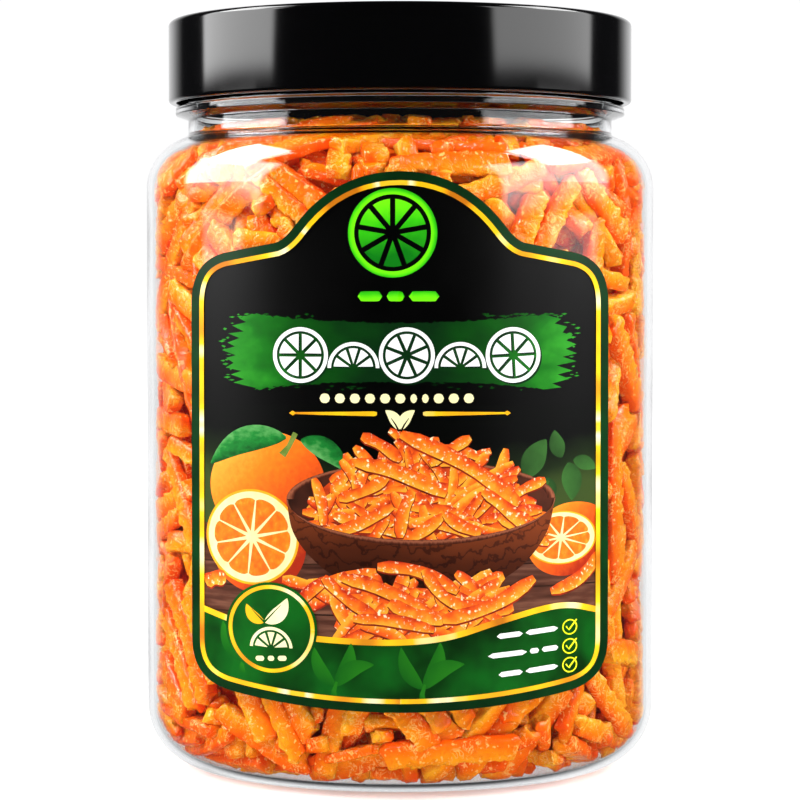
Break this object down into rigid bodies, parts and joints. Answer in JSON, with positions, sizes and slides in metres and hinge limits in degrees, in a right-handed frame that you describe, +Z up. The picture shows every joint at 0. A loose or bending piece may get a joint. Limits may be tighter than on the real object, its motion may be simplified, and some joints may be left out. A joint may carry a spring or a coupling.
{
  "type": "jar of candied orange peel strips",
  "caption": "Sealed clear wide-mouth plastic jar with a black screw lid and a shaped front label, packed with glossy candied orange peel strips.",
  "frame": {"origin": "on the table, under the jar's axis", "axes": "+Z up along the jar's axis, -Y to the front where the label faces, +X to the label's right"},
  "size_m": [0.112, 0.1125, 0.1639],
  "materials": {
    "clear_plastic": "clear, smooth and glossy blown plastic",
    "lid_plastic": "smooth gloss black moulding",
    "label_print": "satin print in black, green, gold and orange",
    "orange_peel": "glossy sugar glaze over bumpy, slightly clear rind and pith"
  },
  "bodies": {
    "root": {"jar": "clear_plastic", "lid": "lid_plastic", "label": "label_print", "peel": "orange_peel"}
  },
  "joints": []
}
